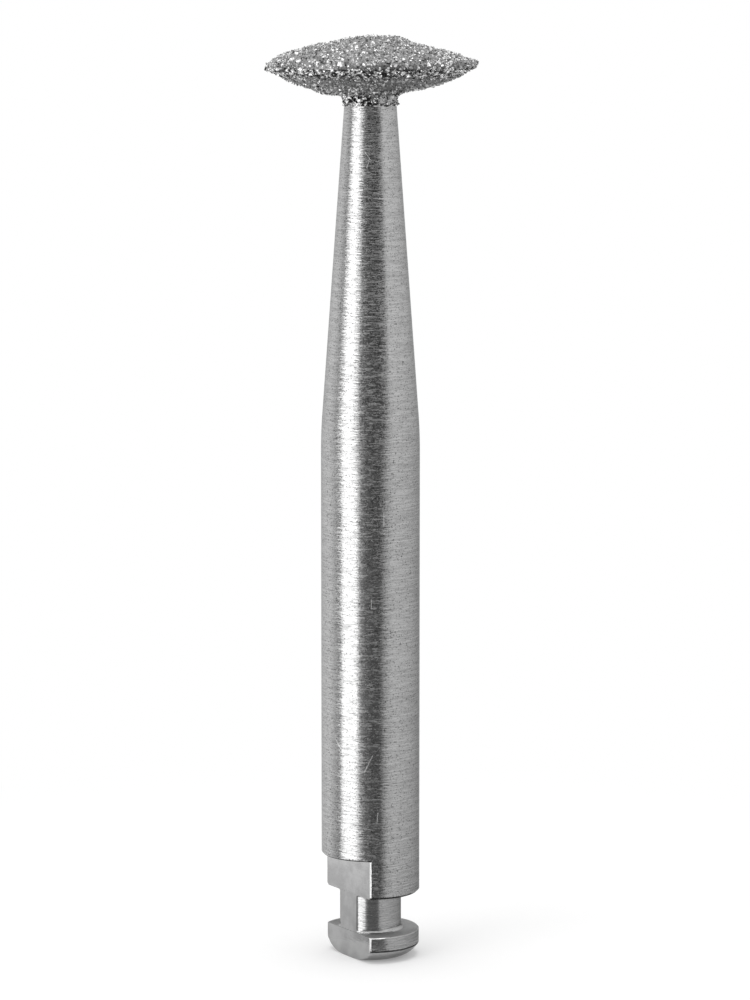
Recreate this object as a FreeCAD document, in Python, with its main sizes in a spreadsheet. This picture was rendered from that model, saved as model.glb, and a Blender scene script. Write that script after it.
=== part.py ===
"""Latch-type dental bur with a lens-shaped diamond head, modelled in millimetres.

The bur stands on the flat land at the end of its foot. Z is the turning axis, pointing to the
head, and the origin is the centre of that land. The drive flat faces -Y.

Two physical pieces: the steel blank, turned from one bar and milled with a drive flat, and the
layer of diamond grit that nickel plating holds on its head and round the root of its neck.
"""

import FreeCAD, Part
import math
import os

import Sketcher
from FreeCAD import Vector

# Driving dimensions in mm: name, value, what it measures
SIZES = [
    ("overall_length", 22.0, "end land to the top of the coated head"),
    ("shank_diameter", 2.35, "round shank that the handpiece chuck guides"),
    ("foot_relief", 0.01, "how far the foot's side lies inside the shank's"),
    ("foot_height", 0.65, "end land to the top of the foot"),
    ("foot_side_start", 0.30, "end land to where the foot's crowned end meets its side"),
    ("end_land_diameter", 1.24, "flat land in the middle of the crowned end"),
    ("groove_diameter", 1.47, "bottom of the latch groove"),
    ("groove_width", 0.93, "latch groove, along the axis"),
    ("groove_corner", 0.05, "radius in the groove's two inner corners"),
    ("edge_break", 0.02, "chamfer on the shank's and the foot's edges at the groove"),
    ("flat_depth", 0.55, "side of the shank to the drive flat"),
    ("flat_length", 2.50, "end land to the shoulder of the drive flat"),
    ("flat_edge_break", 0.03, "chamfer along the drive flat's long edges"),
    ("taper_length", 8.03, "tapered neck, from the root of the head to the round shank"),
    ("taper_blend", 12.0, "radius that rounds the start of the taper"),
    ("neck_diameter", 1.19, "steel neck where it meets the head"),
    ("head_diameter", 5.0, "coated head"),
    ("crown_radius", 5.42, "sphere of the blank's upper side"),
    ("belly_radius", 4.80, "sphere of the blank's lower side"),
    ("rim_land", 0.05, "narrow cylinder round the rim, between crown and belly"),
    ("root_fillet", 0.25, "radius on the blank between neck and belly"),
    ("coat_thickness", 0.08, "diamond coating, square to the steel"),
    ("coat_skirt", 0.04, "how far the coating runs down the neck below the root fillet"),
]

# Places worked out from the driving dimensions, as expressions on the sheet
SHANK_R = "(Sizes.shank_diameter / 2)"
FOOT_R = f"({SHANK_R} - Sizes.foot_relief)"
LAND_R = "(Sizes.end_land_diameter / 2)"
GROOVE_R = "(Sizes.groove_diameter / 2)"
GROOVE_TOP = "(Sizes.foot_height + Sizes.groove_width)"
FLAT_REACH = f"({SHANK_R} - Sizes.flat_depth)"
NECK_R = "(Sizes.neck_diameter / 2)"
HEAD_R = "(Sizes.head_diameter / 2)"
BLANK_R = f"({HEAD_R} - Sizes.coat_thickness)"
BLANK_TOP = "(Sizes.overall_length - Sizes.coat_thickness)"
CROWN_CENTRE = f"({BLANK_TOP} - Sizes.crown_radius)"
RIM_TOP = f"({CROWN_CENTRE} + sqrt(Sizes.crown_radius ^ 2 - {BLANK_R} ^ 2))"
RIM_BOTTOM = f"({RIM_TOP} - Sizes.rim_land)"
BELLY_CENTRE = f"({RIM_BOTTOM} + sqrt(Sizes.belly_radius ^ 2 - {BLANK_R} ^ 2))"
ROOT_HEIGHT = f"({BELLY_CENTRE} - sqrt(Sizes.belly_radius ^ 2 - {NECK_R} ^ 2))"
TAPER_START = f"({ROOT_HEIGHT} - Sizes.taper_length)"
TAPER_SLOPE = f"(({SHANK_R} - {NECK_R}) / Sizes.taper_length)"
TAPER_ANGLE = f"atan({TAPER_SLOPE})"
BLEND_REACH = f"(Sizes.taper_blend * tan({TAPER_ANGLE} / 2))"
BLEND_LOW = f"({TAPER_START} - {BLEND_REACH})"
BLEND_HIGH = f"({TAPER_START} + {BLEND_REACH} * cos({TAPER_ANGLE}))"
BLEND_HIGH_R = f"({SHANK_R} - {BLEND_REACH} * sin({TAPER_ANGLE}))"
BLEND_CENTRE_R = f"({SHANK_R} - Sizes.taper_blend)"

# The coating's outer surface, its thickness out from the same centres and rim corners
COAT_BELLY = "(Sizes.belly_radius + Sizes.coat_thickness)"
BELLY_GROWTH = f"({COAT_BELLY} / Sizes.belly_radius)"
CROWN_GROWTH = "((Sizes.crown_radius + Sizes.coat_thickness) / Sizes.crown_radius)"
BELLY_EDGE_R = f"({BLANK_R} * {BELLY_GROWTH})"
BELLY_EDGE = f"({BELLY_CENTRE} - ({BELLY_CENTRE} - {RIM_BOTTOM}) * {BELLY_GROWTH})"
CROWN_EDGE_R = f"({BLANK_R} * {CROWN_GROWTH})"
CROWN_EDGE = f"({CROWN_CENTRE} + ({RIM_TOP} - {CROWN_CENTRE}) * {CROWN_GROWTH})"
COAT_NECK_R = f"({NECK_R} + Sizes.coat_thickness)"
COAT_ROOT = f"({BELLY_CENTRE} - sqrt({COAT_BELLY} ^ 2 - {COAT_NECK_R} ^ 2))"
SKIRT_LENGTH = "(Sizes.root_fillet + Sizes.coat_skirt)"
SKIRT_END = f"({ROOT_HEIGHT} - {SKIRT_LENGTH})"
SKIRT_END_R = f"({COAT_NECK_R} + {TAPER_SLOPE} * {SKIRT_LENGTH})"

TINY = 1e-6  # how near, in mm, an edge lies to where it is looked for


def make_sheet(doc):
    """The spreadsheet of driving dimensions, one row each."""
    sheet = doc.addObject("Spreadsheet::Sheet", "Sizes")
    for row, (name, value, note) in enumerate(SIZES, start=1):
        sheet.set(f"A{row}", name)
        sheet.set(f"B{row}", str(value))
        sheet.set(f"C{row}", note)
        sheet.setAlias(f"B{row}", name)
    doc.recompute()


def add_sketch(body, name, role):
    """An empty sketch on the body's origin plane of that role."""
    plane = next(f for f in body.Origin.OriginFeatures if f.Role == role)
    sketch = body.newObject("Sketcher::SketchObject", name)
    sketch.AttachmentSupport = [(plane, "")]
    sketch.MapMode = "FlatFace"
    return sketch


def draw_profile(sketch, corners):
    """Draws the closed profile through the corners, each bound to its two expressions.

    A corner is (name, across, up). A fourth entry (across, up) makes the side that leaves the
    corner an arc about that centre.
    """
    spots = [place(sketch, across, up) for _, across, up, *_ in corners]
    sides = []
    for corner, start, end in zip(corners, spots, spots[1:] + spots[:1]):
        if len(corner) == 4:
            sides.append(add_arc(sketch, corner[0], start, end, corner[3]))
        else:
            line = sketch.addGeometry(Part.LineSegment(start, end), False)
            sides.append((line, 1, 2))
    for side, following in zip(sides, sides[1:] + sides[:1]):
        ends = (side[0], side[2], following[0], following[1])
        sketch.addConstraint(Sketcher.Constraint("Coincident", *ends))
    for corner, side, spot in zip(corners, sides, spots):
        name, across, up = corner[:3]
        bind(sketch, "DistanceX", side[:2], spot.x, f"{name}_across", across)
        bind(sketch, "DistanceY", side[:2], spot.y, f"{name}_up", up)


def place(sketch, across, up):
    """The sketch point at the two expressions' present values."""
    return Vector(sketch.evalExpression(across), sketch.evalExpression(up), 0)


def add_arc(sketch, name, start, end, centre):
    """The arc from start to end about the centre, shorter than half a turn.

    Returns the geometry's index, and its vertex numbers at start and at end. Both ends are
    placed by their corners, so only the distance of the centre from the axis is bound.
    """
    middle = place(sketch, *centre)
    start_angle = math.atan2(start.y - middle.y, start.x - middle.x)
    end_angle = math.atan2(end.y - middle.y, end.x - middle.x)
    circle = Part.Circle(middle, Vector(0, 0, 1), (start - middle).Length)
    low, high = sorted((start_angle, end_angle))
    index = sketch.addGeometry(Part.ArcOfCircle(circle, low, high), False)
    bind(sketch, "DistanceX", (index, 3), middle.x, f"{name}_centre", centre[0])
    if start_angle < end_angle:
        return index, 1, 2
    return index, 2, 1


def bind(sketch, kind, vertex, value, name, expression):
    """Holds a vertex at the expression's distance from the origin, or on the axis at 0."""
    if expression == "0":
        axis = {"DistanceX": -2, "DistanceY": -1}[kind]
        sketch.addConstraint(Sketcher.Constraint("PointOnObject", *vertex, axis))
        return
    if value > 0:
        ends = (-1, 1, *vertex)
    else:
        ends = (*vertex, -1, 1)
        expression = f"-{expression}"
    index = sketch.addConstraint(Sketcher.Constraint(kind, *ends, abs(value)))
    sketch.renameConstraint(index, name)
    sketch.setExpression(f"Constraints.{name}", expression)


def turn(body, sketch, name):
    """The sketch turned once round the axis."""
    body.Document.recompute()
    turned = body.newObject("PartDesign::Revolution", name)
    turned.Profile = sketch
    turned.ReferenceAxis = (sketch, ["V_Axis"])
    turned.Angle = 360
    body.Document.recompute()
    return turned


def ring_edge(feature, across, up):
    """Name of the feature's circular edge of that radius and height, both expressions."""
    spot = place(feature, across, up)
    for index, edge in enumerate(feature.Shape.Edges, start=1):
        if edge.Degenerated or not isinstance(edge.Curve, Part.Circle):
            continue
        radius_off = abs(edge.Curve.Radius - spot.x)
        height_off = abs(edge.Curve.Center.z - spot.y)
        if radius_off < TINY and height_off < TINY:
            return f"Edge{index}"
    raise RuntimeError(f"{feature.Name} has no edge of radius {spot.x} at height {spot.y}")


def flat_edges(feature, radius):
    """Names of the two upright edges that the drive flat leaves on a side of that radius."""
    reach = feature.evalExpression(FLAT_REACH)
    half_chord = math.sqrt(feature.evalExpression(radius) ** 2 - reach ** 2)
    found = []
    for index, edge in enumerate(feature.Shape.Edges, start=1):
        ends = [vertex.Point for vertex in edge.Vertexes]
        on_edge = all(abs(p.y + reach) < TINY and abs(abs(p.x) - half_chord) < TINY for p in ends)
        if on_edge and abs(ends[0].z - ends[-1].z) > TINY:
            found.append(f"Edge{index}")
    if len(found) != 2:
        raise RuntimeError(f"{feature.Name} has {len(found)} flat edges at radius {radius}")
    return found


def dress(body, kind, name, edges, size, expression):
    """A fillet or chamfer on those edges of the body's tip, its size bound to the expression."""
    base = body.Tip
    feature = body.newObject(f"PartDesign::{kind}", name)
    feature.Base = (base, edges)
    feature.setExpression(size, expression)
    body.Document.recompute()
    return feature


def make_blank(doc):
    """The steel piece: foot, latch groove, shank, neck and the core of the head."""
    body = doc.addObject("PartDesign::Body", "steel_blank")
    section = add_sketch(body, "turned_section", "XZ_Plane")
    crowned_end = (LAND_R, f"(({FOOT_R} - {LAND_R}) ^ 2 / Sizes.foot_side_start "
                           "+ Sizes.foot_side_start) / 2")
    draw_profile(section, [
        ("axis_end", "0", "0"),
        ("end_land", LAND_R, "0", crowned_end),
        ("foot_side", FOOT_R, "Sizes.foot_side_start"),
        ("foot_top", FOOT_R, "Sizes.foot_height"),
        ("groove_low", GROOVE_R, "Sizes.foot_height"),
        ("groove_high", GROOVE_R, GROOVE_TOP),
        ("shank_end", SHANK_R, GROOVE_TOP),
        ("shank_top", SHANK_R, BLEND_LOW, (BLEND_CENTRE_R, BLEND_LOW)),
        ("taper_low", BLEND_HIGH_R, BLEND_HIGH),
        ("neck_root", NECK_R, ROOT_HEIGHT, ("0", BELLY_CENTRE)),
        ("rim_low", BLANK_R, RIM_BOTTOM),
        ("rim_high", BLANK_R, RIM_TOP, ("0", CROWN_CENTRE)),
        ("axis_top", "0", BLANK_TOP),
    ])
    form = turn(body, section, "turned_form")
    dress(body, "Fillet", "root_fillet", [ring_edge(form, NECK_R, ROOT_HEIGHT)],
          "Radius", "Sizes.root_fillet")
    corners = [
        ring_edge(body.Tip, GROOVE_R, "Sizes.foot_height"),
        ring_edge(body.Tip, GROOVE_R, GROOVE_TOP),
    ]
    dress(body, "Fillet", "groove_corners", corners, "Radius", "Sizes.groove_corner")
    rims = [
        ring_edge(body.Tip, FOOT_R, "Sizes.foot_height"),
        ring_edge(body.Tip, SHANK_R, GROOVE_TOP),
    ]
    dress(body, "Chamfer", "edge_breaks", rims, "Size", "Sizes.edge_break")
    mill_drive_flat(body)
    return body


def mill_drive_flat(body):
    """The flat that makes the end of the shank and the foot D-shaped, with its edges broken."""
    volume_before = body.Shape.Volume
    outline = add_sketch(body, "flat_outline", "XY_Plane")
    side = "Sizes.shank_diameter"
    draw_profile(outline, [
        ("inner_left", f"(-{side})", f"(-{FLAT_REACH})"),
        ("outer_left", f"(-{side})", f"(-{side})"),
        ("outer_right", side, f"(-{side})"),
        ("inner_right", side, f"(-{FLAT_REACH})"),
    ])
    body.Document.recompute()
    flat = body.newObject("PartDesign::Pocket", "drive_flat")
    flat.Profile = outline
    flat.Reversed = True
    flat.setExpression("Length", "Sizes.flat_length")
    body.Document.recompute()
    if flat.Shape.Volume > volume_before - TINY:
        raise RuntimeError("the drive flat cuts nothing off the shank")
    edges = flat_edges(flat, SHANK_R) + flat_edges(flat, FOOT_R)
    dress(body, "Chamfer", "flat_edge_breaks", edges, "Size", "Sizes.flat_edge_break")


def make_coating(doc, blank):
    """The diamond layer: the head's outer form, less the steel that it covers."""
    body = doc.addObject("PartDesign::Body", "coating_form")
    section = add_sketch(body, "coating_section", "XZ_Plane")
    draw_profile(section, [
        ("axis_low", "0", SKIRT_END),
        ("skirt_end", SKIRT_END_R, SKIRT_END),
        ("skirt_root", COAT_NECK_R, COAT_ROOT, ("0", BELLY_CENTRE)),
        ("belly_edge", BELLY_EDGE_R, BELLY_EDGE, (BLANK_R, RIM_BOTTOM)),
        ("rim_low", HEAD_R, RIM_BOTTOM),
        ("rim_high", HEAD_R, RIM_TOP, (BLANK_R, RIM_TOP)),
        ("crown_edge", CROWN_EDGE_R, CROWN_EDGE, ("0", CROWN_CENTRE)),
        ("axis_top", "0", "Sizes.overall_length"),
    ])
    form = turn(body, section, "coating_turned")
    dress(body, "Fillet", "coating_root", [ring_edge(form, COAT_NECK_R, COAT_ROOT)],
          "Radius", "Sizes.root_fillet - Sizes.coat_thickness")
    coating = doc.addObject("Part::Cut", "diamond_coating")
    coating.Base = body
    coating.Tool = blank
    doc.recompute()
    return coating


def check(doc, parts):
    """Stops before anything is written if the document or a part of it has failed."""
    for item in doc.Objects:
        if "Invalid" in item.State or "Error" in item.State:
            raise RuntimeError(f"{item.Name} failed: {item.State}")
        if item.TypeId == "Sketcher::SketchObject" and not item.FullyConstrained:
            raise RuntimeError(f"{item.Name} is not fully constrained")
    for part in parts:
        if part.Shape.isNull() or not part.Shape.isValid():
            raise RuntimeError(f"{part.Label} has no valid shape")
        if len(part.Shape.Solids) != 1:
            raise RuntimeError(f"{part.Label} is not one solid")


def main():
    doc = FreeCAD.newDocument("dental_bur")
    make_sheet(doc)
    blank = make_blank(doc)
    coating = make_coating(doc, blank)
    blank.Label = "steel_blank"
    coating.Label = "diamond_coating"
    doc.recompute()
    parts = [blank, coating]
    check(doc, parts)
    os.makedirs("parts", exist_ok=True)
    for part in parts:
        part.Shape.exportStep(os.path.join("parts", f"{part.Label}.step"))
        print(part.Label, round(part.Shape.Volume, 4), "mm3")


main()
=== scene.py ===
"""Looks of the dental bur: camera, studio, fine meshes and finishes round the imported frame.

Everything is in metres, with Z along the turning axis and the drive flat facing -Y. Angles
round the axis are headings: 0 faces -Y, and they grow towards +X. A half-section is a list of
points (r, z). A pair of radii, heights, headings or noise values says where an effect starts
and ends, and a row of four gives its size at both ends too.
"""

import bisect
import math
import random

import bmesh
import bpy
from mathutils import Euler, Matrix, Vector, noise


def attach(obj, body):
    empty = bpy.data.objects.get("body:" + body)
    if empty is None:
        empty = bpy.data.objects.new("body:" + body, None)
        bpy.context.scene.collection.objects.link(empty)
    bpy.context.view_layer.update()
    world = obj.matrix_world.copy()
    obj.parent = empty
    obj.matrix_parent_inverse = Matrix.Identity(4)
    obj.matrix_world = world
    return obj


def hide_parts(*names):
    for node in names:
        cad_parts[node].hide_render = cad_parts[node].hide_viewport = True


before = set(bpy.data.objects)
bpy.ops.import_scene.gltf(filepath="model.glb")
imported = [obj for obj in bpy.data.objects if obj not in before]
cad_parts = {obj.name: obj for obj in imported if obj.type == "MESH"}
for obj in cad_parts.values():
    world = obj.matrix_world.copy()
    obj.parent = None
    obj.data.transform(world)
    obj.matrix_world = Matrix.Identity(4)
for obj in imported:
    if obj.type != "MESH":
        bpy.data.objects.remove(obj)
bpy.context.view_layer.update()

MM = 0.001
DEG = math.pi / 180
WHITE = (1, 1, 1, 1)

# The photograph's camera, fitted to the object's edges
CAMERA_HEADING = 58 * DEG
CAMERA_DISTANCE = 92.41 * MM
CAMERA_HEIGHT = 23.45 * MM
CAMERA_PITCH = 7.65 * DEG
CAMERA_YAW = -0.067 * DEG
FOCAL_PIXELS = 3920.7
IMAGE_HEIGHT = 1000
SENSOR_MM = 36
CLIP_START = 1 * MM
CLIP_END = 10

# The steel blank, as in the frame
SHANK_R = 1.175 * MM
FOOT_R = 1.165 * MM
LAND_R = 0.62 * MM
FOOT_SIDE = 0.30 * MM
FOOT_TOP = 0.65 * MM
GROOVE_R = 0.735 * MM
GROOVE_TOP = 1.58 * MM
GROOVE_CORNER = 0.05 * MM
FLAT_REACH = 0.625 * MM
FLAT_TOP = 2.50 * MM
FLAT_BREAK = 0.027 * MM
FOOT_BREAK = 0.025 * MM
END_BREAK = 0.050 * MM
SHOULDER_BREAK = 0.040 * MM
FOOT_FILLET = 0.10 * MM
TAPER_LENGTH = 8.03 * MM
TAPER_BLEND = 12.0 * MM
NECK_R = 0.595 * MM
ROOT_FILLET = 0.25 * MM
CROWN_R = 5.42 * MM
BELLY_R = 4.80 * MM
RIM_LAND = 0.05 * MM
COAT = 0.08 * MM
COAT_SKIRT = 0.04 * MM
HEAD_R = 2.5 * MM
TOP = 22.0 * MM

# Heights that follow from them
BLANK_R = HEAD_R - COAT
CROWN_CENTRE = TOP - COAT - CROWN_R
RIM_TOP = CROWN_CENTRE + math.sqrt(CROWN_R ** 2 - BLANK_R ** 2)
RIM_BOTTOM = RIM_TOP - RIM_LAND
BELLY_CENTRE = RIM_BOTTOM + math.sqrt(BELLY_R ** 2 - BLANK_R ** 2)
ROOT = BELLY_CENTRE - math.sqrt(BELLY_R ** 2 - NECK_R ** 2)
TAPER_START = ROOT - TAPER_LENGTH
TAPER_ANGLE = math.atan((SHANK_R - NECK_R) / TAPER_LENGTH)


def spread(start, end, count, ends=True):
    """Count values from start to end, or strictly between them."""
    if ends:
        return [start + (end - start) * i / (count - 1) for i in range(count)]
    return [start + (end - start) * (i + 1) / (count + 1) for i in range(count)]


def run(r, start, end, count):
    """Points (r, z) between two heights at one radius, without the ends."""
    return [(r, z) for z in spread(start, end, count, ends=False)]


def arc(centre_r, centre_z, radius, start, end, steps):
    """Points (r, z) on an arc of the half-section, angles from +R towards +Z."""
    angles = [start + (end - start) * i / steps for i in range(steps + 1)]
    return [(centre_r + radius * math.cos(a), centre_z + radius * math.sin(a)) for a in angles]


def root_fillet(neck_r, belly_r, fillet, steps):
    """The arc that joins the neck's taper to the belly's sphere, from the neck outwards."""
    slope = TAPER_ANGLE
    root_z = BELLY_CENTRE - math.sqrt(belly_r ** 2 - neck_r ** 2)
    a = neck_r + fillet * math.cos(slope)
    b = BELLY_CENTRE - root_z - fillet * math.sin(slope)
    q = a * math.sin(slope) + b * math.cos(slope)
    down = -q + math.sqrt(q * q - (a * a + b * b - (belly_r + fillet) ** 2))
    centre_r = a + down * math.sin(slope)
    centre_z = BELLY_CENTRE - (b + down * math.cos(slope))
    to_belly = math.atan2(BELLY_CENTRE - centre_z, -centre_r)
    return arc(centre_r, centre_z, fillet, math.pi + slope, to_belly, steps)


def blank_section():
    """The steel's half-section (r, z) from the end land up to the drive flat's shoulder."""
    crown = ((FOOT_R - LAND_R) ** 2 / FOOT_SIDE + FOOT_SIDE) / 2
    crown_end = math.atan2(FOOT_SIDE - crown, FOOT_R - LAND_R)
    section = arc(LAND_R, crown, crown, -math.pi / 2, crown_end, steps=14)
    section += run(FOOT_R, FOOT_SIDE, FOOT_TOP - FOOT_BREAK, count=6)
    section += [(FOOT_R, FOOT_TOP - FOOT_BREAK), (FOOT_R - FOOT_BREAK, FOOT_TOP)]
    section += arc(GROOVE_R + FOOT_FILLET, FOOT_TOP + FOOT_FILLET, FOOT_FILLET,
                   -math.pi / 2, -math.pi, steps=8)
    section += arc(GROOVE_R + GROOVE_CORNER, GROOVE_TOP - GROOVE_CORNER, GROOVE_CORNER,
                   math.pi, math.pi / 2, steps=6)
    section += [(SHANK_R - END_BREAK, GROOVE_TOP), (SHANK_R, GROOVE_TOP + END_BREAK)]
    section += run(SHANK_R, GROOVE_TOP + END_BREAK, FLAT_TOP, count=16)
    return section


def core_section():
    """The half-section (r, z) of the head's steel core, from the neck's root to its top."""
    section = root_fillet(NECK_R, BELLY_R, ROOT_FILLET, steps=10)
    fillet_r, fillet_z = section[-1]
    start = math.atan2(fillet_z - BELLY_CENTRE, fillet_r)
    low = -math.acos(BLANK_R / BELLY_R)
    high = math.acos(BLANK_R / CROWN_R)
    section += arc(0, BELLY_CENTRE, BELLY_R, start, low, steps=16)[1:]
    section += arc(0, CROWN_CENTRE, CROWN_R, high, math.pi / 2, steps=20)[:-1]
    return section


def shank_section():
    """The half-section (r, z) from the drive flat's shoulder to the top of the head's core."""
    reach = TAPER_BLEND * math.tan(TAPER_ANGLE / 2)
    blend = arc(SHANK_R - TAPER_BLEND, TAPER_START - reach, TAPER_BLEND, 0, TAPER_ANGLE, steps=16)
    return [(SHANK_R, FLAT_TOP + SHOULDER_BREAK)] + blend + core_section()


# Points of one ring round the axis, in order: along the flat, its right edge, round, left edge
FLAT_POINTS = 48
EDGE_POINTS = 2
ROUND_POINTS = 256
RING = FLAT_POINTS + 2 * EDGE_POINTS + ROUND_POINTS

# The flat's broken edges: how uneven, over what length, and how much wider on the foot
BREAK_UNEVENNESS = 0.5
BREAK_LUMP = 0.16 * MM
BREAK_ON_FOOT = 1.35
WIDEST_BREAK = 1 / 3

# The least radius that a flatted ring counts as, in reaches of the flat, and how fast the
# shoulder's ring tucks in from the flat's edges
LEAST_WIDTH = 1.0001
TUCK_STEEPNESS = 6


def heading_point(r, heading, z):
    """The point (x, y, z) at a radius, heading and height."""
    return (r * math.sin(heading), -r * math.cos(heading), z)


def ring_headings(half, turn):
    """Headings of one ring's points: across the flat, its right edge, round, its left edge."""
    headings = spread(-half, half, FLAT_POINTS)
    headings += spread(half, half + turn, EDGE_POINTS, ends=False)
    headings += spread(half + turn, 2 * math.pi - half - turn, ROUND_POINTS)
    return headings + spread(-half - turn, -half, EDGE_POINTS, ends=False)


def round_ring(r, z, tuck=0):
    """One ring of the round steel, its points over the flat tucked in by that much."""
    half = math.acos(FLAT_REACH / SHANK_R)
    points = []
    for heading in ring_headings(half, FLAT_BREAK / r):
        over_flat = max(0, 1 - abs(heading) / half)
        points.append(heading_point(r - tuck * min(1, over_flat * TUCK_STEEPNESS), heading, z))
    return points


def flatted_ring(r, z):
    """One ring of the steel with its drive flat at y = -FLAT_REACH and the flat's broken edges."""
    half = math.acos(FLAT_REACH / max(r, FLAT_REACH * LEAST_WIDTH))
    side = r * math.sin(half)
    uneven = 1 + BREAK_UNEVENNESS * noise.noise(Vector((r, r, z)) / BREAK_LUMP)
    if z < GROOVE_TOP:
        uneven *= BREAK_ON_FOOT
    edge_break = min(FLAT_BREAK * uneven, side * WIDEST_BREAK)
    turn = edge_break / r
    flat_end = side - edge_break
    points = [(x, -FLAT_REACH, z) for x in spread(-flat_end, flat_end, FLAT_POINTS)]
    on_flat = Vector((flat_end, -FLAT_REACH, z))
    on_round = Vector(heading_point(r, half + turn, z))
    right = [on_flat.lerp(on_round, t) for t in spread(0, 1, EDGE_POINTS, ends=False)]
    points += [tuple(p) for p in right]
    headings = spread(half + turn, 2 * math.pi - half - turn, ROUND_POINTS)
    points += [heading_point(r, heading, z) for heading in headings]
    points += [(-p.x, p.y, p.z) for p in reversed(right)]
    return points


def make_object(name, vertices, faces, smooth_angle=None):
    """A mesh object in the scene, shaded smooth up to the angle, or flat without one."""
    mesh = bpy.data.meshes.new(name)
    mesh.from_pydata(vertices, [], faces)
    mesh.validate()
    if smooth_angle:
        mesh.shade_smooth()
        mesh.set_sharp_from_angle(angle=smooth_angle)
    thing = bpy.data.objects.new(name, mesh)
    bpy.context.scene.collection.objects.link(thing)
    return thing


def stitch(lower, upper, count):
    """Quads between two rings of vertex numbers that start at lower and upper."""
    return [(lower + i, lower + (i + 1) % count, upper + (i + 1) % count, upper + i)
            for i in range(count)]


def capped(rings, pole, first):
    """Vertices and faces of stacked rings under a pole, with vertices numbered from first."""
    count = len(rings[0])
    vertices = [point for ring in rings for point in ring] + [pole]
    starts = range(first, first + len(rings) * count, count)
    faces = []
    for lower, upper in zip(starts, starts[1:]):
        faces += stitch(lower, upper, count)
    last = starts[-1]
    faces += [(last + i, last + (i + 1) % count, last + count) for i in range(count)]
    return vertices, faces


def steel_blank():
    """The blank as one fine turned mesh, with the D of the drive flat below its shoulder."""
    rings = [flatted_ring(r, z) for r, z in blank_section()]
    rings.append(flatted_ring(SHANK_R, FLAT_TOP))
    rings.append(round_ring(SHANK_R, FLAT_TOP, SHOULDER_BREAK))
    rings += [round_ring(r, z) for r, z in shank_section()]
    vertices, faces = capped(rings, (0, 0, TOP - COAT), first=1)
    end_land = [(0, 1 + (i + 1) % RING, 1 + i) for i in range(RING)]
    return make_object("turned_steel", [(0, 0, 0)] + vertices, end_land + faces)


SAME_POINT = 1e-8
STEEL_SHARP = 20 * DEG


def tidy_mesh(thing):
    """Joins the doubled points where flat and round rings meet and drops empty faces."""
    work = bmesh.new()
    work.from_mesh(thing.data)
    bmesh.ops.remove_doubles(work, verts=work.verts, dist=SAME_POINT)
    bmesh.ops.dissolve_degenerate(work, edges=work.edges, dist=SAME_POINT)
    work.to_mesh(thing.data)
    work.free()
    thing.data.shade_smooth()
    thing.data.set_sharp_from_angle(angle=STEEL_SHARP)


steel = steel_blank()
tidy_mesh(steel)
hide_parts("steel_blank")
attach(steel, "root")


# The diamond coat's half-section
COAT_BELLY_R = BELLY_R + COAT
COAT_CROWN_R = CROWN_R + COAT
COAT_NECK_R = NECK_R + COAT
COAT_FILLET = ROOT_FILLET - COAT
SKIRT_END = ROOT - ROOT_FILLET - COAT_SKIRT

# How this one bur's plated head strays from the true form: it leans and sits off centre
RIGHT = Vector((math.cos(CAMERA_HEADING), math.sin(CAMERA_HEADING), 0))
LEAN = 0.014
OFF_CENTRE = 0.030 * MM
HEAD_HEIGHTS = (ROOT - 0.2 * MM, ROOT + 0.1 * MM)

# Its waves, and the thinner coat on the skirt
WAVE = 0.012 * MM
WAVE_LENGTH = 0.45 * MM
SKIRT_THINNING = 0.045 * MM
THINNING_HEIGHTS = (ROOT - 0.15 * MM, ROOT + 0.05 * MM)

# The crown's dish, the tilted crest in its middle, and the slant of the dish
CROWN_FACING = 0.1
DISH = 0.050 * MM
DISH_START = (0.70 * MM, 0.95 * MM)
DISH_END = (1.5 * MM, 2.3 * MM)
CREST = 0.010 * MM
CREST_END = (0.6 * MM, 0.8 * MM)
CREST_TILT = 0.015
TILT_END = (0.7 * MM, 1.1 * MM)
SLANT = 0.042 * MM
SLANT_START = (0.7 * MM, 1.3 * MM)
SLANT_END = (2.2 * MM, 2.5 * MM)

# The belly's slant, strongest at one radius, and its drop beside the rim
BELLY_FACING = -0.1
BELLY_SLANT = 0.040 * MM
BELLY_SLANT_R = 1.05 * MM
BELLY_SLANT_WIDTH = 0.30 * MM
RIM_DROP = 0.030 * MM
RIM_DROP_START = (2.2 * MM, 2.42 * MM)


def coat_section():
    """The coat's outer half-section (r, z) from the skirt's lower edge up to the pole."""
    section = [(COAT_NECK_R + math.tan(TAPER_ANGLE) * (ROOT - SKIRT_END), SKIRT_END)]
    section += root_fillet(COAT_NECK_R, COAT_BELLY_R, COAT_FILLET, steps=6)
    fillet_r, fillet_z = section[-1]
    start = math.atan2(fillet_z - BELLY_CENTRE, fillet_r)
    low = math.atan2(RIM_BOTTOM - BELLY_CENTRE, BLANK_R)
    high = math.atan2(RIM_TOP - CROWN_CENTRE, BLANK_R)
    section += arc(0, BELLY_CENTRE, COAT_BELLY_R, start, low, steps=28)[1:]
    section += arc(BLANK_R, RIM_BOTTOM, COAT, low, 0, steps=4)[1:]
    section += arc(BLANK_R, RIM_TOP, COAT, 0, high, steps=4)
    section += arc(0, CROWN_CENTRE, COAT_CROWN_R, high, math.pi / 2, steps=40)[1:]
    return section


def section_normals(section):
    """The outward normal (r, z) at each point of a half-section that runs up from the neck."""
    normals = []
    for i in range(len(section)):
        before, after = section[max(i - 1, 0)], section[min(i + 1, len(section) - 1)]
        along = Vector((after[0] - before[0], after[1] - before[1])).normalized()
        normals.append((along.y, -along.x))
    return normals


def smooth(value, low, high):
    """0 up to low, 1 from high, and an even rise between them."""
    t = min(max((value - low) / (high - low), 0), 1)
    return t * t * (3 - 2 * t)


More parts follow.
